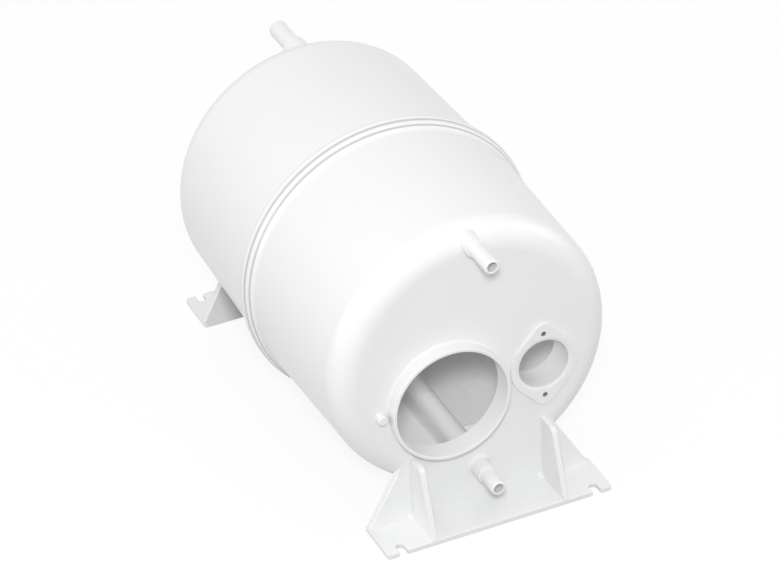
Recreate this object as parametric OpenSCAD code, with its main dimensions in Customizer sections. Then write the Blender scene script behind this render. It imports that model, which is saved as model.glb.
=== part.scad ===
// Water container of a caravan heater: two moulded halves welded in the middle, lying on two feet.
// Z is up, the tank lies along Y and its front face looks towards -Y. The origin is on the ground
// under the tank's axis, in the plane of the front face. Sizes are in millimetres.

/* [Tank] */
// Length of the front half, from the front face to the weld seam
front_len = 163.5; // [145:0.5:200]
// Length of the rear half, from the weld seam to the rear face
rear_len = 168.5; // [150:0.5:200]
// Outside diameter at the weld seam, where the tank is widest
seam_d = 244.5; // [238:0.5:250]
// How much smaller the diameter is at each end face, the moulding draft
draft_drop = 9; // [6:0.5:14]
// Wall thickness of both halves
wall = 3.5; // [2.5:0.25:4.5]
// Radius of the rounded edge at the front face
front_round = 21; // [12:1:24]
// Radius of the rounded edge at the rear face
rear_round = 20; // [12:0.5:22]
// Distance from the ground to the tank at the seam
ground_gap = 12.75; // [8:0.25:45]

/* [Weld seam] */
// How far the rear bead stands out from the tank
rear_bead_h = 5; // [2:0.5:6]
// How far the front bead stands out from the tank
front_bead_h = 2; // [1.5:0.5:5]
// Width of each bead along the tank
bead_w = 5; // [3:0.5:7]
// Radius of each bead's rounded outer edges
bead_round = 1.2; // [0.4:0.1:1.4]

/* [Burner opening] */
// Bore of the collar that the burner slides into
collar_bore_d = 94.5; // [80:0.5:98]
// Sideways place of the burner opening from the tank's axis
collar_x = -25.5; // [-30:0.5:-24]
// Height of the burner opening from the tank's axis
collar_z = -27.5; // [-32:0.5:-18]
// How far the collar stands out of the front face
collar_out = 12; // [8:0.5:20]
// Wall thickness of the collar
collar_wall = 2.8; // [2:0.2:3.4]
// How far the collar reaches into the tank, from the front face
collar_in = 6.5; // [5:0.5:12]
// Radius where the collar meets the front face
collar_foot_round = 2; // [1:0.25:2.25]
// Diameter of the locating peg beside the collar
peg_d = 8; // [5:0.5:8.5]
// How far the locating peg stands out of the front face
peg_out = 7; // [5:0.5:12]
// Distance from the collar's outer wall to the peg's axis
peg_offset = 6.5; // [6.5:0.5:9]

/* [Heating element port] */
// Bore of the sleeve that the heating element slides into
element_bore_d = 43; // [36:0.5:45]
// Sideways place of the element port from the tank's axis
element_x = 58; // [56.5:0.5:61]
// Height of the element port from the tank's axis
element_z = -22.5; // [-28:0.5:-14]
// Wall thickness of the sleeve
sleeve_wall = 2.5; // [1.5:0.25:3]
// How far the sleeve reaches into the tank, from the front face
sleeve_in = 24; // [12:1:60]
// How far the flange stands out of the front face
flange_t = 2.7; // [2:0.1:5]
// Diameter of the flange's round middle
flange_d = 57.5; // [54:0.5:59]
// Radius of the two lobes that hold the screw holes
lobe_r = 9; // [7:0.5:12]
// Distance between the two screw holes
screw_spacing = 57.5; // [54:0.5:64]
// Diameter of the screw holes
screw_hole_d = 4.2; // [3:0.1:6]
// Depth of the screw holes behind the front face, in the tank's wall
screw_hole_depth = 2; // [1:0.1:2.3]
// Radial width of the chamfer round the mouth
mouth_chamfer = 3.3; // [1:0.1:3.5]
// Depth of the chamfer round the mouth
mouth_chamfer_depth = 1.6; // [1:0.1:1.9]

/* [Water spigots] */
// Distance of the hot outlet's axis inside the end face's outer radius
outlet_inset = 10.75; // [9:0.25:19]
// Distance of the cold inlet's axis inside the end face's outer radius
inlet_inset = 16.75; // [14:0.25:21]
// Outside diameter of the two front spigots
spigot_d = 12.5; // [10:0.5:14]
// Bore of the two front spigots
spigot_bore_d = 8; // [5:0.5:8.5]
// Outside diameter of the bosses behind the front spigots
boss_d = 15.5; // [15:0.5:20]
// How far the hot outlet's boss stands out of the front face
outlet_boss_out = 10; // [4:0.5:14]
// How far the cold inlet's boss stands out of the front face
inlet_boss_out = 15; // [4:0.5:18]
// Length of the hot outlet's spigot in front of its boss
outlet_spigot_len = 28; // [20:0.5:45]
// Length of the cold inlet's spigot in front of its boss
inlet_spigot_len = 21; // [16:0.5:40]
// Width of the chamfer at every spigot's tip
tip_chamfer = 0.8; // [0.3:0.1:1.2]

/* [Rear vent] */
// Distance of the rear vent's axis inside the end face's outer radius
vent_inset = 11.75; // [10:0.25:21]
// Outside diameter of the rear vent's tube
vent_d = 15.5; // [13:0.5:17]
// Bore of the rear vent's tube
vent_bore_d = 10; // [6:0.5:10.5]
// Outside diameter of the boss behind the rear vent
vent_boss_d = 20; // [18:0.5:22]
// How far the boss stands out of the rear face
vent_boss_out = 6; // [4:0.5:16]
// Length of the tube behind its boss
vent_len = 34.5; // [25:0.5:55]

/* [Feet] */
// Width of the front foot's base
front_foot_w = 195; // [180:1:220]
// How far the front foot's base reaches in front of the front face
front_foot_out = 38; // [32:1:60]
// Width of the rear foot's base
rear_foot_w = 205; // [196:1:225]
// How far the rear foot's base reaches behind the rear face
rear_foot_out = 38; // [32:1:60]
// Thickness of both bases
base_t = 4.5; // [3:0.25:6]
// Thickness of both upright plates
plate_t = 6; // [3.5:0.25:6.5]
// Width of the front plate at plate_level
front_plate_w = 119.5; // [117:0.5:138]
// How far the front plate stops short of its base's ends
front_plate_inset = 2.25; // [0:0.25:6]
// Width of the rear plate at plate_level
rear_plate_w = 139; // [130:1:156]
// Height above the ground at which those two widths are taken
plate_level = 65; // [57:1:73]
// Sideways place of the front gussets from the middle
front_gusset_x = 57; // [49:0.5:60]
// Distance of the rear gussets from the ends of their base
rear_gusset_inset = 29.5; // [23:0.5:33]
// Thickness of the gussets
gusset_t = 4.5; // [2.5:0.25:5]
// Depth below the tank's axis of the front gussets' upper ends
front_gusset_drop = 73.5; // [72:0.5:80]
// Height of the rear gussets' upper ends above the ground
rear_gusset_h = 40; // [30:1:50]
// How far a front gusset stands out from its plate at the top
front_gusset_top = 19; // [10:0.5:26]
// How far a rear gusset stands out from its plate at the top
rear_gusset_top = 14; // [10:0.5:26]
// Radius of the rounded corner at every gusset's top
gusset_round = 6; // [2:0.5:8]
// Width of the slots in the bases
slot_w = 7; // [5:0.5:9]
// Depth of the slots, from the base's free edge
slot_depth = 10.5; // [8:0.5:16]
// Distance of the front slots' axes from the ends of their base
front_slot_inset = 13.5; // [9:0.5:24]
// Distance of the rear slots' axes from the ends of their base
rear_slot_inset = 12.5; // [9:0.5:20]

/* [Inside] */
// Outside width of the duct that leads cold water to the rear
duct_w = 18.5; // [15:0.5:22]
// Wall thickness of the duct
duct_wall = 2; // [1.5:0.25:2.75]
// Length of the duct from the front face
duct_len = 250; // [180:5:270]
// Distance of the drain stub from the front face
stub_y = 54; // [50:1:80]
// Height of the drain stub's axis below the duct's rounded top
stub_drop = 6; // [5:0.5:7]
// Outside diameter of the drain stub
stub_d = 9; // [7:0.5:10]
// Bore of the drain stub
stub_bore_d = 6; // [4:0.5:6.5]
// How far the drain stub stands out from the duct's side
stub_out = 13; // [8:0.5:18]

/* [Hidden] */
$fn = 96;

// Spare length that lets a cut run past the face it opens
cut = 1;
// How far straight sides are drawn in, so that they cross the rounds beside them cleanly
draw_in = 0.05;
seam_r = seam_d / 2;
tank_len = front_len + rear_len;
end_r = (seam_d - draft_drop) / 2;
collar_r = collar_bore_d / 2 + collar_wall;
peg_x = collar_x - collar_r - peg_offset;
sleeve_r = element_bore_d / 2 + sleeve_wall;
axis_h = seam_r + ground_gap;
outlet_z = end_r - outlet_inset;
inlet_z = inlet_inset - end_r;
vent_z = end_r - vent_inset;
duct_r = duct_w / 2;
front_slot_x = front_foot_w / 2 - front_slot_inset;
// Width of the front plate where it meets its base
front_plate_low_w = front_foot_w - 2 * front_plate_inset;
rear_slot_x = rear_foot_w / 2 - rear_slot_inset;
rear_gusset_x = rear_foot_w / 2 - rear_gusset_inset;
// Depth below the axis at which the plates' outlines stop, well inside the flat faces
plate_stop = end_r / 3;

// Draft angle of a half of the given length
function draft(length) = atan((seam_r - end_r) / length);

// Radius of the flat part of a half's end face, whose edge is rounded by round_r
function flat_r(length, round_r) =
    end_r + round_r * tan(draft(length)) - round_r / cos(draft(length));

// Radius at which a rounded edge falls back from the end face by the depth of a foot's plate
function plate_seat_r(length, round_r) =
    flat_r(length, round_r) + sqrt(2 * round_r * plate_t - plate_t * plate_t);

// Half of a foot plate's width at height h above the ground, where w is its width at plate_level
// and low_w its width on the base
function plate_half_w(h, w, low_w) =
    w / 2 + (low_w - w) / 2 * (plate_level - h) / (plate_level - base_t);

// Places its children at x, z in the tank's own frame, with their Z along the tank's axis
module along_tank(x, y, z) {
    translate([x, y, axis_h + z]) rotate([-90, 0, 0]) children();
}

// Places a profile that starts at the rear face and runs forward
module from_rear() {
    translate([0, tank_len, axis_h]) rotate([90, 0, 0]) children();
}

// Tube along the tank, with its outer and inner radius
module tube_along(x, y, z, r_out, r_in, length) {
    along_tank(x, y, z) difference() {
        cylinder(r = r_out, h = length);
        translate([0, 0, -cut]) cylinder(r = r_in, h = length + 2 * cut);
    }
}

// Half of the tank's section, from the end face at 0 to the seam, drawn in by inset
module half_section(length, round_r, inset, past_seam) {
    lean = draft(length);
    flat = flat_r(length, round_r);
    r = round_r - inset;
    seam_edge = seam_r - inset / cos(lean);
    polygon([[0, inset],
             [flat, inset],
             [flat, round_r],
             [flat + r * cos(lean), round_r - r * sin(lean)],
             [seam_edge, length],
             [seam_edge, length + past_seam],
             [0, length + past_seam]]);
    translate([flat, round_r]) intersection() {
        circle(r);
        translate([0, -r]) square([r, 2 * r]);
    }
}

module front_solid(inset = 0, past_seam = 0) {
    along_tank(0, 0, 0) rotate_extrude() half_section(front_len, front_round, inset, past_seam);
}

module rear_solid(inset = 0, past_seam = 0) {
    from_rear() rotate_extrude() half_section(rear_len, rear_round, inset, past_seam);
}

// Upright plate of a foot, from its base up to inside the flat of the end face
module plate_outline(w, low_w) {
    top = axis_h - plate_stop;
    polygon([[-plate_half_w(base_t, w, low_w), base_t],
             [plate_half_w(base_t, w, low_w), base_t],
             [plate_half_w(top, w, low_w), top],
             [-plate_half_w(top, w, low_w), top]]);
}

// The plate's full slab, whose front side is at y
module plate_slab(y, w, low_w) {
    translate([0, y + plate_t, 0]) rotate([90, 0, 0]) linear_extrude(plate_t) plate_outline(w, low_w);
}

module front_shell() {
    color("white") difference() {
        union() {
            front_solid();
            intersection() {
                plate_slab(0, front_plate_w, front_plate_low_w);
                along_tank(0, 0, 0) cylinder(r = plate_seat_r(front_len, front_round), h = plate_t);
            }
        }
        front_solid(wall, cut);
        along_tank(collar_x, -cut, collar_z) cylinder(r = collar_r, h = wall + 2 * cut);
        along_tank(element_x, -cut, element_z) cylinder(r = sleeve_r, h = wall + 2 * cut);
        along_tank(0, -cut, outlet_z) cylinder(d = spigot_bore_d, h = front_round);
        along_tank(0, -cut, inlet_z) cylinder(d = spigot_bore_d, h = front_round);
        for (side = [-1, 1])
            along_tank(element_x, -cut, element_z + side * screw_spacing / 2)
                cylinder(d = screw_hole_d, h = screw_hole_depth + cut);
    }
}

module rear_shell() {
    color("white") difference() {
        union() {
            rear_solid();
            intersection() {
                plate_slab(tank_len - plate_t, rear_plate_w, rear_foot_w);
                from_rear() cylinder(r = plate_seat_r(rear_len, rear_round), h = plate_t);
            }
        }
        rear_solid(wall, cut);
        along_tank(0, tank_len - wall - rear_round, vent_z)
            cylinder(d = vent_bore_d, h = wall + rear_round + cut);
    }
}

// Bead round a half's open edge, flush with the seam
module weld_bead(length, round_r, bead_h) {
    outer = seam_r + bead_h;
    low = length - bead_w;
    rotate_extrude() difference() {
        union() {
            translate([end_r - cut, low]) square([outer - bead_round - end_r + cut, bead_w]);
            translate([outer - 2 * bead_round, low + bead_round])
                square([2 * bead_round, bead_w - 2 * bead_round]);
            translate([outer - bead_round, low + bead_round]) circle(bead_round);
            translate([outer - bead_round, length - bead_round]) circle(bead_round);
        }
        half_section(length, round_r, 0, cut);
    }
}

module front_weld_bead() {
    color("white") along_tank(0, 0, 0) weld_bead(front_len, front_round, front_bead_h);
}

module rear_weld_bead() {
    color("white") from_rear() weld_bead(rear_len, rear_round, rear_bead_h);
}

module burner_collar() {
    lip = collar_wall / 4;
    foot = collar_foot_round;
    color("white") along_tank(collar_x, 0, collar_z) rotate_extrude() {
        translate([collar_r - collar_wall, lip - collar_out])
            square([collar_wall, collar_out + collar_in - lip]);
        translate([collar_r - collar_wall + lip, -collar_out]) square([collar_wall - 2 * lip, lip]);
        translate([collar_r - lip, lip - collar_out]) circle(lip);
        translate([collar_r - collar_wall + lip, lip - collar_out]) circle(lip);
        difference() {
            translate([collar_r - lip, -foot]) square([foot + lip, foot]);
            translate([collar_r + foot, -foot]) circle(foot);
        }
    }
}

module collar_peg() {
    r = peg_d / 2;
    color("white") along_tank(peg_x, -peg_out, collar_z) rotate_extrude() intersection() {
        union() {
            translate([0, r]) circle(r);
            translate([0, r]) square([r, peg_out - r]);
        }
        square([r, peg_out]);
    }
}

// Pad round the port: a round middle and two screw lobes, joined by straight sides
module flange_pad() {
    reach = screw_spacing / 2;
    mid = flange_d / 2;
    lean = acos((mid - lobe_r) / reach);
    side = (mid - draw_in) * [sin(lean), cos(lean)];
    tip = [0, reach] + (lobe_r - draw_in) * [sin(lean), cos(lean)];
    cylinder(r = mid, h = flange_t);
    for (up = [1, -1]) translate([0, up * reach, 0]) cylinder(r = lobe_r, h = flange_t);
    linear_extrude(flange_t)
        polygon([tip, side, [side[0], -side[1]], [tip[0], -tip[1]],
                 -tip, -side, [-side[0], side[1]], [-tip[0], tip[1]]]);
}

module element_flange() {
    bore = element_bore_d / 2;
    color("white") along_tank(element_x, -flange_t, element_z) difference() {
        flange_pad();
        translate([0, 0, -cut]) cylinder(r = bore, h = flange_t + 2 * cut);
        cylinder(r1 = bore + mouth_chamfer, r2 = bore, h = mouth_chamfer_depth);
        for (side = [-1, 1])
            translate([0, side * screw_spacing / 2, -cut]) cylinder(d = screw_hole_d, h = flange_t + 2 * cut);
    }
}

module element_sleeve() {
    color("white") tube_along(element_x, 0, element_z, sleeve_r, element_bore_d / 2, sleeve_in);
}

// Spigot tube whose tip, at the far end of its length, is chamfered
module spigot_tube(outer_d, bore_d, length) {
    r = outer_d / 2;
    rotate_extrude() polygon([[bore_d / 2, 0],
                              [r, 0],
                              [r, length - tip_chamfer],
                              [r - tip_chamfer, length],
                              [bore_d / 2, length]]);
}

// Boss and spigot of the front face point forward
module forward(z, out) {
    translate([0, -out, axis_h + z]) rotate([90, 0, 0]) children();
}

module hot_outlet_boss() {
    color("white") difference() {
        tube_along(0, -outlet_boss_out, outlet_z,
                   boss_d / 2, spigot_bore_d / 2, outlet_boss_out + front_round);
        front_solid(0, cut);
    }
}

module hot_outlet_spigot() {
    color("white") forward(outlet_z, outlet_boss_out) spigot_tube(spigot_d, spigot_bore_d, outlet_spigot_len);
}

module cold_inlet_boss() {
    color("white") tube_along(0, -inlet_boss_out, inlet_z, boss_d / 2, spigot_bore_d / 2, inlet_boss_out);
}

module cold_inlet_spigot() {
    color("white") forward(inlet_z, inlet_boss_out) spigot_tube(spigot_d, spigot_bore_d, inlet_spigot_len);
}

module rear_vent_boss() {
    color("white") difference() {
        tube_along(0, tank_len - rear_round, vent_z,
                   vent_boss_d / 2, vent_bore_d / 2, rear_round + vent_boss_out);
        rear_solid(0, cut);
    }
}

module rear_vent_spigot() {
    color("white") along_tank(0, tank_len + vent_boss_out, vent_z) spigot_tube(vent_d, vent_bore_d, vent_len);
}

// Arch on the tank's floor, with its round top centred on the cold inlet
module arch(r, length) {
    translate([0, length, axis_h]) rotate([90, 0, 0]) linear_extrude(length) {
        translate([0, inlet_z]) circle(r);
        translate([-r, -seam_r]) square([2 * r, seam_r + inlet_z]);
    }
}

module inlet_duct() {
    color("white") difference() {
        intersection() {
            arch(duct_r, duct_len);
            union() {
                front_solid(wall);
                rear_solid(wall);
            }
        }
        arch(duct_r - duct_wall, duct_len + cut);
        translate([0, stub_y, axis_h + inlet_z - stub_drop]) rotate([0, 90, 0])
            cylinder(d = stub_bore_d, h = duct_w);
    }
}

module drain_stub() {
    round_r = (stub_d - stub_bore_d) / 4;
    color("white") translate([duct_r, stub_y, axis_h + inlet_z - stub_drop])
        rotate([0, 90, 0]) rotate_extrude() {
            translate([stub_bore_d / 2, 0]) square([2 * round_r, stub_out - round_r]);
            translate([stub_bore_d / 2 + round_r, stub_out - round_r]) circle(round_r);
        }
}

module foot_base(y_wall, y_free, w, slot_x) {
    low = min(y_wall, y_free);
    outward = sign(y_free - y_wall);
    slot_y = y_free - outward * (slot_depth - slot_w / 2);
    difference() {
        translate([-w / 2, low, 0]) cube([w, abs(y_free - y_wall), base_t]);
        for (side = [-1, 1]) {
            translate([side * slot_x, slot_y, -cut]) cylinder(d = slot_w, h = base_t + 2 * cut);
            translate([side * slot_x - slot_w / 2, min(slot_y, y_free + outward * cut), -cut])
                cube([slot_w, slot_depth - slot_w / 2 + cut, base_t + 2 * cut]);
        }
    }
}

module front_foot_plate() {
    color("white") difference() {
        plate_slab(0, front_plate_w, front_plate_low_w);
        along_tank(0, -cut, 0) cylinder(r = plate_seat_r(front_len, front_round), h = plate_t + 2 * cut);
    }
}

module front_foot_base() {
    color("white") foot_base(plate_t, -front_foot_out, front_foot_w, front_slot_x);
}

module rear_foot_plate() {
    color("white") difference() {
        plate_slab(tank_len - plate_t, rear_plate_w, rear_foot_w);
        from_rear() translate([0, 0, -cut])
            cylinder(r = plate_seat_r(rear_len, rear_round), h = plate_t + 2 * cut);
    }
}

module rear_foot_base() {
    color("white") foot_base(tank_len - plate_t, tank_len + rear_foot_out, rear_foot_w, rear_slot_x);
}

// Gusset seen from the side, with its plate at 0 and its upper outer corner rounded
module gusset_outline(h, foot_out, top_out) {
    slope = atan2(h - base_t, foot_out - top_out);
    back = gusset_round * tan(slope / 2);
    centre = [top_out - back, h - gusset_round];
    polygon([[0, base_t],
             [foot_out, base_t],
             [top_out, h] + back * [cos(slope), -sin(slope)],
             centre,
             [top_out - back, h],
             [0, h]]);
    translate(centre) circle(gusset_round);
}

// Front gusset standing on the base at x, against the front face
module front_gusset(x) {
    color("white") translate([x + gusset_t / 2, 0, 0]) rotate([90, 0, -90]) linear_extrude(gusset_t)
        gusset_outline(axis_h - front_gusset_drop, front_foot_out, front_gusset_top);
}

// Rear gusset standing on the base at x, against the rear face
module rear_gusset(x) {
    color("white") translate([x - gusset_t / 2, tank_len, 0]) rotate([90, 0, 90]) linear_extrude(gusset_t)
        gusset_outline(rear_gusset_h, rear_foot_out, rear_gusset_top);
}

module front_foot_left_gusset() {
    front_gusset(-front_gusset_x);
}

module front_foot_right_gusset() {
    front_gusset(front_gusset_x);
}

module rear_foot_left_gusset() {
    rear_gusset(-rear_gusset_x);
}

module rear_foot_right_gusset() {
    rear_gusset(rear_gusset_x);
}

front_shell();
rear_shell();
front_weld_bead();
rear_weld_bead();
burner_collar();
collar_peg();
element_flange();
element_sleeve();
hot_outlet_boss();
hot_outlet_spigot();
cold_inlet_boss();
cold_inlet_spigot();
rear_vent_boss();
rear_vent_spigot();
inlet_duct();
drain_stub();
front_foot_plate();
front_foot_base();
front_foot_left_gusset();
front_foot_right_gusset();
rear_foot_plate();
rear_foot_base();
rear_foot_left_gusset();
rear_foot_right_gusset();
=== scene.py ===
import bpy
import bmesh
import math
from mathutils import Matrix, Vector
from mathutils.bvhtree import BVHTree


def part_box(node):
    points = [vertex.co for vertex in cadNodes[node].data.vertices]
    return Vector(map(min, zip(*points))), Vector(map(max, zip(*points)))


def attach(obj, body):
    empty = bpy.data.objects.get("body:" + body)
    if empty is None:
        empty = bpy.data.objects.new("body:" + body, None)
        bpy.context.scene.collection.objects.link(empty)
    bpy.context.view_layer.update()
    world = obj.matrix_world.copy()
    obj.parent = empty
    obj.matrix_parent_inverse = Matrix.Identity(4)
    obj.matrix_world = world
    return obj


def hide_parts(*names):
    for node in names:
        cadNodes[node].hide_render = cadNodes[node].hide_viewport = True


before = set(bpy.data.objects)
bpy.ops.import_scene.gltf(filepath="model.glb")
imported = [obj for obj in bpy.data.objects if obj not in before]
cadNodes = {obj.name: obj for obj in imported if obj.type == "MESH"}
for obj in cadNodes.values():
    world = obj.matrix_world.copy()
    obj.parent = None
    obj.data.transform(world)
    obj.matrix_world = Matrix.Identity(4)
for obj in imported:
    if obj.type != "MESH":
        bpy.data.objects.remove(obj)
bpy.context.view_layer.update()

bpy.ops.object.select_all(action="DESELECT")
print("frame loaded, nodes:", len(cadNodes))

# Camera at the photograph's angle
cameraSet = {
    "location": (-0.99592, -2.20261, 1.81868),
    "rotation": (56.23982, 2.52434, -24.53159),
    "lens": 176.08,
    "sensor": 36,
    "clipEnd": 50,
}
bpy.ops.object.camera_add(location=cameraSet["location"],
                          rotation=[math.radians(a) for a in cameraSet["rotation"]])
camera = bpy.context.object
camera.name = "photoCamera"
camera.data.lens = cameraSet["lens"]
camera.data.sensor_width = cameraSet["sensor"]
camera.data.clip_end = cameraSet["clipEnd"]
bpy.context.scene.camera = camera
print("camera placed")

# Moulded white plastic, one look shared by every piece
plasticSet = {
    "color": (0.83, 0.835, 0.835, 1),
    "shade": (0.80, 0.807, 0.804, 1),
    "roughness": (0.22, 0.3),
    "cloudScale": 9,
    "cloudDetail": 3,
    "peelScale": 160,
    "peelDetail": 2,
    "peelDepth": 0.0005,
    "peelStrength": 0.04,
    "ior": 1.5,
}


def plasticGroup():
    group = bpy.data.node_groups.new("mouldedPlastic", "ShaderNodeTree")
    group.interface.new_socket("Color", in_out="OUTPUT", socket_type="NodeSocketColor")
    group.interface.new_socket("Roughness", in_out="OUTPUT", socket_type="NodeSocketFloat")
    group.interface.new_socket("Height", in_out="OUTPUT", socket_type="NodeSocketFloat")
    nodes = group.nodes
    links = group.links
    out = nodes.new("NodeGroupOutput")
    coords = nodes.new("ShaderNodeTexCoord")
    cloud = nodes.new("ShaderNodeTexNoise")
    cloud.inputs["Scale"].default_value = plasticSet["cloudScale"]
    cloud.inputs["Detail"].default_value = plasticSet["cloudDetail"]
    peel = nodes.new("ShaderNodeTexNoise")
    peel.inputs["Scale"].default_value = plasticSet["peelScale"]
    peel.inputs["Detail"].default_value = plasticSet["peelDetail"]
    links.new(coords.outputs["Object"], cloud.inputs["Vector"])
    links.new(coords.outputs["Object"], peel.inputs["Vector"])
    tint = nodes.new("ShaderNodeMix")
    tint.data_type = "RGBA"
    tint.inputs["A"].default_value = plasticSet["color"]
    tint.inputs["B"].default_value = plasticSet["shade"]
    polish = nodes.new("ShaderNodeMapRange")
    polish.inputs["To Min"].default_value = plasticSet["roughness"][0]
    polish.inputs["To Max"].default_value = plasticSet["roughness"][1]
    links.new(cloud.outputs["Fac"], tint.inputs["Factor"])
    links.new(cloud.outputs["Fac"], polish.inputs["Value"])
    links.new(tint.outputs["Result"], out.inputs["Color"])
    links.new(polish.outputs["Result"], out.inputs["Roughness"])
    links.new(peel.outputs["Fac"], out.inputs["Height"])
    return group


# Masks of painted shade over the plastic: two grey lines beside the weld's front ridge, painted where its
# grooves would be in shadow, and dark paint down inside the flange's two screw holes, painted as the shade in
# them
weldShadeSet = {"lines": ((0.0023, 0.0049), (0.0082, 0.0104)), "color": (0.54, 0.545, 0.545, 1)}
screwShadeSet = {"apart": 0.0575, "radius": 0.0023, "rim": 0.0005, "depth": 0.0065, "color": (0.36, 0.36, 0.36, 1)}
seamLow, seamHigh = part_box("front_weld_bead")
seamY = seamHigh[1]
tankZ = (seamLow[2] + seamHigh[2]) / 2
flangeLow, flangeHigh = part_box("element_flange")
flangeX = (flangeLow[0] + flangeHigh[0]) / 2
flangeZ = (flangeLow[2] + flangeHigh[2]) / 2


def mathNode(tree, operation, *values):
    node = tree.nodes.new("ShaderNodeMath")
    node.operation = operation
    for socket, value in zip(node.inputs, values):
        if isinstance(value, (int, float)):
            socket.default_value = value
        else:
            tree.links.new(value, socket)
    return node.outputs[0]


def maskGroup(name, maskOf):
    group = bpy.data.node_groups.new(name, "ShaderNodeTree")
    group.interface.new_socket("Mask", in_out="OUTPUT", socket_type="NodeSocketFloat")
    coords = group.nodes.new("ShaderNodeTexCoord")
    axes = group.nodes.new("ShaderNodeSeparateXYZ")
    group.links.new(coords.outputs["Object"], axes.inputs[0])
    group.links.new(maskOf(group, *axes.outputs), group.nodes.new("NodeGroupOutput").inputs["Mask"])
    return group


# Painted shade: grey bands beside the weld ridge, where its grooves would be in shadow
def weldShadeLines(tree, x, y, z):
    bands = [mathNode(tree, "COMPARE", y, seamY - (near + far) / 2, (far - near) / 2)
             for near, far in weldShadeSet["lines"]]
    return mathNode(tree, "MAXIMUM", *bands)


# Painted shade: dark colour down inside the flange's two screw holes, where they would be in shadow
def screwHoleShade(tree, x, y, z):
    across = mathNode(tree, "SUBTRACT", x, flangeX)
    acrossSquare = mathNode(tree, "MULTIPLY", across, across)
    holes = []
    for side in (-1, 1):
        up = mathNode(tree, "SUBTRACT", z, flangeZ + side * screwShadeSet["apart"] / 2)
        square = mathNode(tree, "ADD", acrossSquare, mathNode(tree, "MULTIPLY", up, up))
        holes.append(mathNode(tree, "LESS_THAN", square, screwShadeSet["radius"] ** 2))
    middle = flangeLow[1] + (screwShadeSet["rim"] + screwShadeSet["depth"]) / 2
    deep = mathNode(tree, "COMPARE", y, middle, (screwShadeSet["depth"] - screwShadeSet["rim"]) / 2)
    return mathNode(tree, "MULTIPLY", deep, mathNode(tree, "MAXIMUM", *holes))


plasticLook = plasticGroup()


def plasticMaterial(name, marks=None, shadeColor=None):
    material = bpy.data.materials.new(name)
    material.use_nodes = True
    nodes = material.node_tree.nodes
    links = material.node_tree.links
    shader = nodes["Principled BSDF"]
    look = nodes.new("ShaderNodeGroup")
    look.node_tree = plasticLook
    bump = nodes.new("ShaderNodeBump")
    bump.inputs["Strength"].default_value = plasticSet["peelStrength"]
    bump.inputs["Distance"].default_value = plasticSet["peelDepth"]
    links.new(look.outputs["Color"], shader.inputs["Base Color"])
    # Mixes the plastic towards a darker colour inside the mask: painted shade
    if marks:
        lines = nodes.new("ShaderNodeGroup")
        lines.node_tree = marks
        paintedShade = nodes.new("ShaderNodeMix")
        paintedShade.data_type = "RGBA"
        paintedShade.inputs["B"].default_value = shadeColor
        links.new(lines.outputs["Mask"], paintedShade.inputs["Factor"])
        links.new(look.outputs["Color"], paintedShade.inputs["A"])
        links.new(paintedShade.outputs["Result"], shader.inputs["Base Color"])
    links.new(look.outputs["Roughness"], shader.inputs["Roughness"])
    links.new(look.outputs["Height"], bump.inputs["Height"])
    links.new(bump.outputs["Normal"], shader.inputs["Normal"])
    shader.inputs["IOR"].default_value = plasticSet["ior"]
    return material


whitePlastic = plasticMaterial("whitePlastic")
weldShadedPlastic = plasticMaterial("weldShadedPlastic", maskGroup("weldShadeLines", weldShadeLines), weldShadeSet["color"])
screwShadedPlastic = plasticMaterial("screwShadedPlastic", maskGroup("screwHoleShade", screwHoleShade), screwShadeSet["color"])
# The front shell and the flange carry the painted shade of the screw holes
for nodeName, node in cadNodes.items():
    node.data.materials.clear()
    node.data.materials.append(screwShadedPlastic if nodeName == "front_shell" else whitePlastic)
print("materials made")

# Modelling helpers, with lengths in metres and angles in degrees
meshSet = {"merge": 0.00001, "near": 0.00002, "flat": 0.5, "smooth": 35, "weight": 100, "coveSteps": 5,
           "edgeSteps": 3}


def activate(piece):
    bpy.ops.object.select_all(action="DESELECT")
    piece.select_set(True)
    bpy.context.view_layer.objects.active = piece


def editMode(piece):
    activate(piece)
    bpy.ops.object.mode_set(mode="EDIT")
    bpy.ops.mesh.select_mode(type="EDGE")
    bpy.ops.mesh.select_all(action="DESELECT")
    return bmesh.from_edit_mesh(piece.data)


def objectMode():
    bpy.ops.object.mode_set(mode="OBJECT")


def applyModifier(piece, modifier):
    activate(piece)
    bpy.ops.object.modifier_apply(modifier=modifier.name)


def tidyMesh(piece):
    editMode(piece)
    bpy.ops.mesh.select_all(action="SELECT")
    bpy.ops.mesh.remove_doubles(threshold=meshSet["merge"])
    bpy.ops.mesh.dissolve_limited(angle_limit=math.radians(meshSet["flat"]))
    objectMode()


def copyNode(nodeName, name):
    piece = cadNodes[nodeName].copy()
    piece.data = cadNodes[nodeName].data.copy()
    piece.name = name
    bpy.context.collection.objects.link(piece)
    activate(piece)
    bpy.ops.mesh.customdata_custom_splitnormals_clear()
    tidyMesh(piece)
    return piece


# Adds a plain block to a piece
def uniteBlock(piece, low, high):
    size = [b - a for a, b in zip(low, high)]
    centre = [(a + b) / 2 for a, b in zip(low, high)]
    activate(piece)
    bpy.ops.mesh.primitive_cube_add(size=1, location=centre, scale=size)
    block = bpy.context.object
    bpy.ops.object.transform_apply(location=True, rotation=True, scale=True)
    union = piece.modifiers.new("union", "BOOLEAN")
    union.operation = "UNION"
    union.solver = "EXACT"
    union.object = block
    applyModifier(piece, union)
    bpy.data.objects.remove(block)
    tidyMesh(piece)


def isSharp(edge, angle=30):
    return len(edge.link_faces) == 2 and edge.calc_face_angle(0) > math.radians(angle)


# Bevels each edge that the test picks
def bevelEdges(piece, wanted, width, segments):
    mesh = editMode(piece)
    chosen = [edge for edge in mesh.edges if wanted(edge)]
    for edge in chosen:
        edge.select = True
    mesh.select_flush_mode()
    bmesh.update_edit_mesh(piece.data)
    if chosen:
        bpy.ops.mesh.bevel(offset=width, offset_type="OFFSET", segments=segments, profile=0.5,
                           affect="EDGES", clamp_overlap=True, miter_inner="SHARP", miter_outer="SHARP")
    objectMode()


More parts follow.
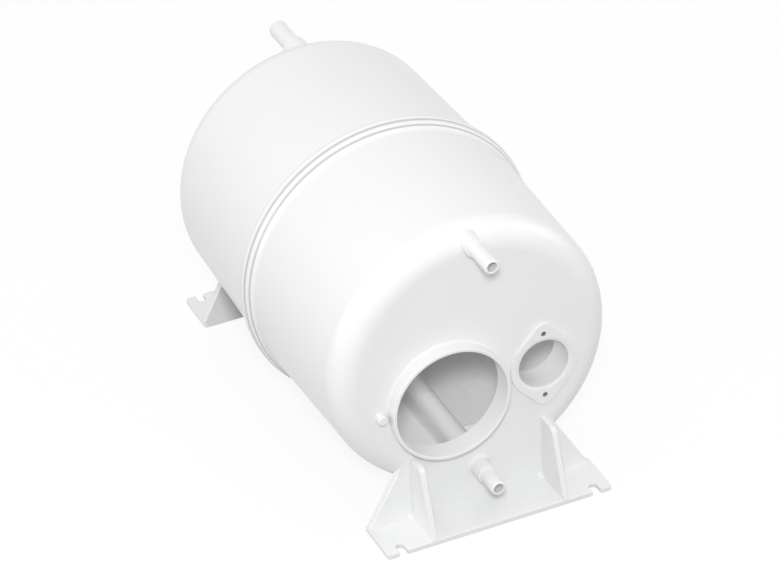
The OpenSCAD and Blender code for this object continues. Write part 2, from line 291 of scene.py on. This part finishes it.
# Smooths a piece, gives it its plastic and puts it in the place of its CAD nodes
def finishPiece(piece, *nodeNames, material=None):
    editMode(piece)
    bpy.ops.mesh.select_all(action="SELECT")
    bpy.ops.mesh.normals_make_consistent(inside=False)
    objectMode()
    activate(piece)
    bpy.ops.object.shade_smooth_by_angle(angle=math.radians(meshSet["smooth"]))
    weighted = piece.modifiers.new("weighted", "WEIGHTED_NORMAL")
    weighted.keep_sharp = True
    weighted.weight = meshSet["weight"]
    applyModifier(piece, weighted)
    piece.data.materials.clear()
    piece.data.materials.append(material or whitePlastic)
    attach(piece, "root")
    if nodeNames:
        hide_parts(*nodeNames)


# Gussets: rounded edges, with a cove against the end face and the base
gussetSet = {"cove": 0.0045, "edge": 0.0012, "sunk": 0.00003, "depth": 0.001, "rim": 0.0004, "short": 0.001,
             "clear": 0.0002}


def gussetPiece(nodeName, name, outward):
    low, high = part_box(nodeName)
    reach = gussetSet["cove"] + gussetSet["rim"]
    depth = gussetSet["depth"]
    wall = high[1] if outward < 0 else low[1]      # the plate it stands against
    free = low[1] if outward < 0 else high[1]
    yFace = wall - outward * gussetSet["sunk"]
    yDeep = yFace - outward * depth
    yFar = free - outward * gussetSet["short"]
    under = low[2] - gussetSet["sunk"]
    piece = copyNode(nodeName, name)
    uniteBlock(piece, (low[0] - reach, min(yFace, yDeep), under - depth),
               (high[0] + reach, max(yFace, yDeep), high[2] + reach))
    uniteBlock(piece, (low[0] - reach, min(yDeep, yFar), under - depth),
               (high[0] + reach, max(yDeep, yFar), under))
    bevelEdges(piece, lambda e: isSharp(e) and not e.is_convex, gussetSet["cove"], meshSet["coveSteps"])

    def outerEdge(edge):
        middle = (edge.verts[0].co + edge.verts[1].co) / 2
        offWall = outward * (middle.y - wall) > gussetSet["clear"]
        offBase = middle.z > low[2] + gussetSet["clear"]
        return offWall and offBase and edge.is_convex and isSharp(edge)

    bevelEdges(piece, outerEdge, gussetSet["edge"], meshSet["edgeSteps"])
    finishPiece(piece, nodeName)


gussetPiece("front_foot_left_gusset", "frontLeftGusset", -1)
gussetPiece("front_foot_right_gusset", "frontRightGusset", -1)
gussetPiece("rear_foot_left_gusset", "rearLeftGusset", 1)
gussetPiece("rear_foot_right_gusset", "rearRightGusset", 1)
print("gussets made")


# Upright plates, with a cove where they meet their base
plateSet = {"cove": 0.004, "edge": 0.0011, "sunk": 0.00003, "depth": 0.001, "rim": 0.0004, "inset": 0.002,
            "slant": 0.8, "leastEdge": 0.02}


def platePiece(nodeName, name, outward):
    low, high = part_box(nodeName)
    face = low[1] if outward < 0 else high[1]
    piece = copyNode(nodeName, name)

    def slantedEdge(edge):
        first, second = (v.co for v in edge.verts)
        onFace = max(abs(first.y - face), abs(second.y - face)) < meshSet["near"]
        rise = abs(first.z - second.z)
        steep = rise > plateSet["slant"] * abs(first.x - second.x)
        return onFace and steep and isSharp(edge) and rise > plateSet["leastEdge"]

    bevelEdges(piece, slantedEdge, plateSet["edge"], meshSet["edgeSteps"])
    inset = plateSet["inset"]
    top = low[2] - plateSet["sunk"]
    yIn = face - outward * inset
    yOut = face + outward * (plateSet["cove"] + plateSet["rim"])
    uniteBlock(piece, (low[0] + inset, min(yIn, yOut), top - plateSet["depth"]),
               (high[0] - inset, max(yIn, yOut), top))
    bevelEdges(piece, lambda e: isSharp(e) and not e.is_convex, plateSet["cove"], meshSet["coveSteps"])
    finishPiece(piece, nodeName)


# Bases, with rounded corners and slot mouths
baseSet = {"corner": 0.0025, "cornerSteps": 4, "edge": 0.0007, "sharp": 50}


def basePiece(nodeName, name):
    low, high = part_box(nodeName)
    piece = copyNode(nodeName, name)

    def cornerEdge(edge):
        first, second = (v.co for v in edge.verts)
        upright = abs(first.x - second.x) + abs(first.y - second.y) < meshSet["merge"]
        atEnd = min(abs(first.x - low[0]), abs(first.x - high[0])) < meshSet["merge"]
        return upright and atEnd and isSharp(edge)

    bevelEdges(piece, cornerEdge, baseSet["corner"], baseSet["cornerSteps"])
    bevelEdges(piece, lambda e: e.is_convex and isSharp(e, baseSet["sharp"]), baseSet["edge"],
               meshSet["edgeSteps"])
    finishPiece(piece, nodeName)


platePiece("front_foot_plate", "frontPlate", -1)
platePiece("rear_foot_plate", "rearPlate", 1)
basePiece("front_foot_base", "frontBase")
basePiece("rear_foot_base", "rearBase")
print("feet made")

# Heating element flange, with softened edges
flangeSet = {"edge": 0.0007, "mouth": 0.0262}
flange = copyNode("element_flange", "elementFlange")


def flangeRim(edge):
    middle = (edge.verts[0].co + edge.verts[1].co) / 2
    onFront = max(abs(v.co.y - flangeLow[1]) for v in edge.verts) < meshSet["near"]
    fromAxis = math.hypot(middle.x - flangeX, middle.z - flangeZ)
    return onFront and isSharp(edge) and fromAxis > flangeSet["mouth"]


bevelEdges(flange, flangeRim, flangeSet["edge"], meshSet["edgeSteps"])
finishPiece(flange, "element_flange", material=screwShadedPlastic)
print("flange made")

# Bosses behind the spigots and the peg, each with a fillet that follows the shell
bossSet = {"sides": 96, "steps": 6, "edgeSteps": 3, "sunk": 0.00004, "depth": 0.0012, "above": 0.02}
bosses = {
    "hotOutletBoss": {"node": "hot_outlet_boss", "shell": "front_shell", "outward": -1, "bore": 0.004,
                      "fillet": 0.0025, "edge": 0.0006},
    "coldInletBoss": {"node": "cold_inlet_boss", "shell": "front_shell", "outward": -1, "bore": 0.004,
                      "fillet": 0.0035, "edge": 0.0006},
    "rearVentBoss": {"node": "rear_vent_boss", "shell": "rear_shell", "outward": 1, "bore": 0.005,
                     "fillet": 0.0025, "edge": 0.0007},
    "collarPeg": {"node": "collar_peg", "shell": "front_shell", "outward": -1, "bore": 0,
                  "fillet": 0.001, "edge": 0.001},
}


# Solid lofted through rings of points; a tube's last ring is joined back to its first
def loftPiece(name, rings, tube):
    mesh = bmesh.new()
    loops = [[mesh.verts.new(point) for point in ring] for ring in rings]
    pairs = list(zip(loops, loops[1:]))
    if tube:
        pairs.append((loops[-1], loops[0]))
    else:
        mesh.faces.new(loops[0])
        mesh.faces.new(loops[-1])
    for first, second in pairs:
        for k in range(len(first)):
            mesh.faces.new((first[k - 1], first[k], second[k], second[k - 1]))
    data = bpy.data.meshes.new(name)
    mesh.to_mesh(data)
    mesh.free()
    piece = bpy.data.objects.new(name, data)
    bpy.context.collection.objects.link(piece)
    return piece


def surfaceOf(nodeName):
    mesh = cadNodes[nodeName].data
    return BVHTree.FromPolygons([v.co for v in mesh.vertices], [p.vertices for p in mesh.polygons])


def filletRings(surface, centre, radius, front, boss):
    outward = boss["outward"]
    rings = [[] for _ in range(bossSet["steps"] + 1)]
    for k in range(bossSet["sides"]):
        turn = 2 * math.pi * k / bossSet["sides"]
        away = Vector((math.cos(turn), 0, math.sin(turn)))
        start = Vector((centre[0], front + outward * bossSet["above"], centre[1])) + away * radius
        corner, normal = surface.ray_cast(start, Vector((0, -outward, 0)))[:2]
        tilt = math.atan2(normal.dot(away), normal.y * outward)
        reach = boss["fillet"] / math.tan((math.pi / 2 + tilt) / 2)
        wall = surface.ray_cast(start + away * reach * math.cos(tilt), Vector((0, -outward, 0)))[0]
        wall.y -= outward * bossSet["sunk"]
        side = corner + Vector((0, outward * reach, 0))
        for step, ring in enumerate(rings):
            t = step / bossSet["steps"]
            ring.append(wall * (1 - t) ** 2 + corner * 2 * t * (1 - t) + side * t * t)
    return rings


def plainRing(centre, radius, y):
    turns = [2 * math.pi * k / bossSet["sides"] for k in range(bossSet["sides"])]
    return [Vector((centre[0] + radius * math.cos(a), y, centre[1] + radius * math.sin(a))) for a in turns]


def bossPiece(name, boss):
    low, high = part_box(boss["node"])
    outward = boss["outward"]
    front = low[1] if outward < 0 else high[1]
    centre = ((low[0] + high[0]) / 2, (low[2] + high[2]) / 2)
    radius = (high[0] - low[0]) / 2
    edge = boss["edge"]
    rings = filletRings(surfaceOf(boss["shell"]), centre, radius, front, boss)
    for step in range(bossSet["edgeSteps"] + 1):
        turn = math.pi / 2 * step / bossSet["edgeSteps"]
        rings.append(plainRing(centre, radius - edge + edge * math.cos(turn),
                               front - outward * edge * (1 - math.sin(turn))))
    buried = [point - Vector((0, outward * bossSet["depth"], 0)) for point in rings[0]]
    if boss["bore"]:
        deep = max(p.y for p in buried) if outward < 0 else min(p.y for p in buried)
        rings.append(plainRing(centre, boss["bore"], front))
        rings.append(plainRing(centre, boss["bore"], deep))
    rings.insert(0, buried)
    finishPiece(loftPiece(name, rings, boss["bore"] > 0), boss["node"])


for name, boss in bosses.items():
    bossPiece(name, boss)
print("bosses made")

# Weld: a rear bead and a low front ridge with painted shade lines beside it. Each point is a distance
# ahead of the seam and a height above the shell, and each fall curves down to the shell
seamSet = {
    "sides": 192,
    "steps": 7,
    "crest": 0.005,
    "gap": 0.00002,
    "sunk": 0.0004,
    "beyond": 0.2,
    "frontFall": (0.0104, 0.0156),
    "frontFoot": 0.0018,
    "rearFall": (-0.001, -0.0076),
    "ridge": ((0.0082, 0.0025), (0.008, 0.003), (0.0075, 0.0034), (0.0056, 0.0039), (0.0051, 0.0039),
              (0.0049, 0.0036), (0.0023, 0.0042), (0.002, 0.0047)),
}


def seamFall(span, height, power):
    points = []
    for step in range(seamSet["steps"] + 1):
        t = step / seamSet["steps"]
        points.append((span[0] + (span[1] - span[0]) * t, height * (1 - t ** power) ** 2 + seamSet["gap"]))
    return points


def closedSection(top, first, last):
    return [(first, -seamSet["sunk"])] + top + [(last, -seamSet["sunk"])]


def frontSection():
    fall = seamFall(seamSet["frontFall"], seamSet["frontFoot"], 1)[::-1]
    top = fall + list(seamSet["ridge"]) + [(seamSet["gap"], seamSet["crest"])]
    return closedSection(top, fall[0][0] + seamSet["gap"], seamSet["gap"])


def rearSection():
    fall = seamFall(seamSet["rearFall"], seamSet["crest"] - seamSet["gap"], 2)
    top = [(-seamSet["gap"], seamSet["crest"])] + fall
    return closedSection(top, -seamSet["gap"], fall[-1][0] - seamSet["gap"])


def shellRadius(surface, y):
    return surface.ray_cast(Vector((seamSet["beyond"], y, tankZ)), Vector((-1, 0, 0)))[0].x


# Spins the section round the tank's axis
def beadPiece(name, shellName, nodeName, section):
    shell = surfaceOf(shellName)
    bpy.ops.object.select_all(action="DESELECT")
    bpy.ops.mesh.primitive_circle_add(vertices=len(section), location=(0, 0, 0))
    piece = bpy.context.object
    piece.name = name
    mesh = editMode(piece)
    for vertex, (ahead, height) in zip(mesh.verts, section):
        y = seamY - ahead
        vertex.co = (shellRadius(shell, y) + height, y, tankZ)
    bmesh.update_edit_mesh(piece.data)
    bpy.ops.mesh.select_all(action="SELECT")
    bpy.ops.mesh.spin(steps=seamSet["sides"], angle=2 * math.pi, center=(0, 0, tankZ), axis=(0, 1, 0))
    bpy.ops.mesh.select_all(action="SELECT")
    bpy.ops.mesh.remove_doubles(threshold=meshSet["merge"])
    objectMode()
    # The ridge and bead carry the painted shade lines of the weld
    finishPiece(piece, nodeName, material=weldShadedPlastic)


beadPiece("frontWeldRidge", "front_shell", "front_weld_bead", frontSection())
beadPiece("rearWeldBead", "rear_shell", "rear_weld_bead", rearSection())
print("weld made")

# Coves where the inlet duct meets the tank's floor
coveSet = {"cove": 0.004, "sunk": 0.0006, "steps": 6, "stations": 40, "start": 0.004, "above": 0.02}


def ductCove(side, name):
    low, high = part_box("inlet_duct")
    shells = [surfaceOf("front_shell"), surfaceOf("rear_shell")]
    x = high[0] if side > 0 else low[0]
    down = Vector((0, 0, -1))
    top = low[2] + coveSet["above"]
    rings = []
    for k in range(coveSet["stations"] + 1):
        y = coveSet["start"] + (high[1] - coveSet["start"]) * k / coveSet["stations"]
        shell = shells[0] if y < seamY else shells[1]
        corner = shell.ray_cast(Vector((x, y, top)), down)[0]
        wall = shell.ray_cast(Vector((x + side * coveSet["cove"], y, top)), down)[0]
        upper = corner + Vector((0, 0, coveSet["cove"]))
        ring = []
        for step in range(coveSet["steps"] + 1):
            t = step / coveSet["steps"]
            ring.append(upper * (1 - t) ** 2 + corner * 2 * t * (1 - t) + wall * t * t)
        ring.append(wall + Vector((0, 0, -coveSet["sunk"])))
        ring.append(corner + Vector((-side * coveSet["sunk"], 0, -coveSet["sunk"])))
        ring.append(upper + Vector((-side * coveSet["sunk"], 0, 0)))
        rings.append(ring)
    finishPiece(loftPiece(name, rings, False))


ductCove(-1, "ductLeftCove")
ductCove(1, "ductRightCove")
print("coves made")

# Spigots, with rounded tips
spigotSet = {"tip": 0.00045, "near": 0.0012, "sharp": 20}


def spigotPiece(nodeName, name, outward):
    low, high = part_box(nodeName)
    tip = low[1] if outward < 0 else high[1]
    piece = copyNode(nodeName, name)

    def tipEdge(edge):
        atTip = max(abs(v.co.y - tip) for v in edge.verts) < spigotSet["near"]
        return atTip and isSharp(edge, spigotSet["sharp"])

    bevelEdges(piece, tipEdge, spigotSet["tip"], meshSet["edgeSteps"])
    finishPiece(piece, nodeName)


spigotPiece("hot_outlet_spigot", "hotOutletSpigot", -1)
spigotPiece("cold_inlet_spigot", "coldInletSpigot", -1)
spigotPiece("rear_vent_spigot", "rearVentSpigot", 1)
print("spigots made")

# White floor that still keeps a faint shadow
floorSet = {
    "size": 6,
    "centre": (0, 0.15, 0),
    "color": (0.38, 0.38, 0.38, 1),
    "seenColor": (0.96, 0.96, 0.96, 1),
    "roughness": 0.9,
    "whiteShare": 0.88,
}
bpy.ops.mesh.primitive_plane_add(size=floorSet["size"], location=floorSet["centre"])
floor = bpy.context.object
floor.name = "floor"


# Picks the camera's rays and the mirrored and see-through ones
def cameraMask(tree):
    path = tree.nodes.new("ShaderNodeLightPath")
    mirrored = mathNode(tree, "MAXIMUM", path.outputs["Is Glossy Ray"], path.outputs["Is Transmission Ray"])
    return mathNode(tree, "MAXIMUM", path.outputs["Is Camera Ray"], mirrored)


floorMaterial = bpy.data.materials.new("floorWhite")
floorMaterial.use_nodes = True
floorTree = floorMaterial.node_tree
floorNodes = floorTree.nodes
floorLinks = floorTree.links
floorShader = floorNodes["Principled BSDF"]
floorTint = floorNodes.new("ShaderNodeMix")
floorTint.data_type = "RGBA"
floorTint.inputs["A"].default_value = floorSet["color"]
floorTint.inputs["B"].default_value = floorSet["seenColor"]
floorLinks.new(cameraMask(floorTree), floorTint.inputs["Factor"])
floorLinks.new(floorTint.outputs["Result"], floorShader.inputs["Base Color"])
floorShader.inputs["Roughness"].default_value = floorSet["roughness"]
floorGlow = floorNodes.new("ShaderNodeEmission")
floorMix = floorNodes.new("ShaderNodeMixShader")
floorShare = mathNode(floorTree, "MULTIPLY", cameraMask(floorTree), floorSet["whiteShare"])
floorLinks.new(floorShare, floorMix.inputs["Fac"])
floorLinks.new(floorShader.outputs["BSDF"], floorMix.inputs[1])
floorLinks.new(floorGlow.outputs["Emission"], floorMix.inputs[2])
floorLinks.new(floorMix.outputs["Shader"], floorNodes["Material Output"].inputs["Surface"])
floor.data.materials.append(floorMaterial)

# Soft studio lamps, all aimed at the tank. Two of them leave no highlight, as in the photograph
lampSet = {
    "keyLamp": {"location": (-0.794, -1.754, 1.728), "size": 0.3, "power": 33.5, "mirrored": False},
    "topLamp": {"location": (0, 0.2, 2.4), "size": 2.4, "power": 8, "mirrored": False},
    "leftLamp": {"location": (-2.2, 0.3, 0.8), "size": 1.5, "power": 12, "mirrored": True},
    "rightLamp": {"location": (2.2, -0.3, 1.0), "size": 1.5, "power": 9.5, "mirrored": True},
}
lampAim = Vector((0, 0.16, 0.13))
for name, lamp in lampSet.items():
    bpy.ops.object.light_add(type="AREA", location=lamp["location"])
    light = bpy.context.object
    light.name = name
    light.data.shape = "DISK"
    light.data.size = lamp["size"]
    light.data.energy = lamp["power"]
    light.visible_glossy = lamp["mirrored"]
    light.rotation_euler = (lampAim - light.location).to_track_quat("-Z", "Y").to_euler()

# The real wall lets some daylight through, so a weak lamp lights the tank from inside
wallGlowSet = {"location": (-0.02, 0.06, 0.14), "radius": 0.03, "power": 0.085, "color": (1, 1, 0.97)}
bpy.ops.object.light_add(type="POINT", location=wallGlowSet["location"])
wallGlow = bpy.context.object
wallGlow.name = "wallGlow"
wallGlow.data.energy = wallGlowSet["power"]
wallGlow.data.color = wallGlowSet["color"]
wallGlow.data.shadow_soft_size = wallGlowSet["radius"]
wallGlow.visible_camera = False
wallGlow.visible_glossy = False

# World: even light on the tank, plain white to the camera
worldSet = {"color": (0.9, 0.9, 0.9, 1), "strength": 0.6}
world = bpy.data.worlds.new("studio")
bpy.context.scene.world = world
world.use_nodes = True
worldNodes = world.node_tree.nodes
worldLinks = world.node_tree.links
evenLight = worldNodes["Background"]
evenLight.inputs["Color"].default_value = worldSet["color"]
evenLight.inputs["Strength"].default_value = worldSet["strength"]
whiteBack = worldNodes.new("ShaderNodeBackground")
whiteBack.inputs["Color"].default_value = (1, 1, 1, 1)
worldMix = worldNodes.new("ShaderNodeMixShader")
worldLinks.new(cameraMask(world.node_tree), worldMix.inputs["Fac"])
worldLinks.new(evenLight.outputs["Background"], worldMix.inputs[1])
worldLinks.new(whiteBack.outputs["Background"], worldMix.inputs[2])
worldLinks.new(worldMix.outputs["Shader"], worldNodes["World Output"].inputs["Surface"])
bpy.context.scene.view_settings.view_transform = "Standard"
print("stage set")
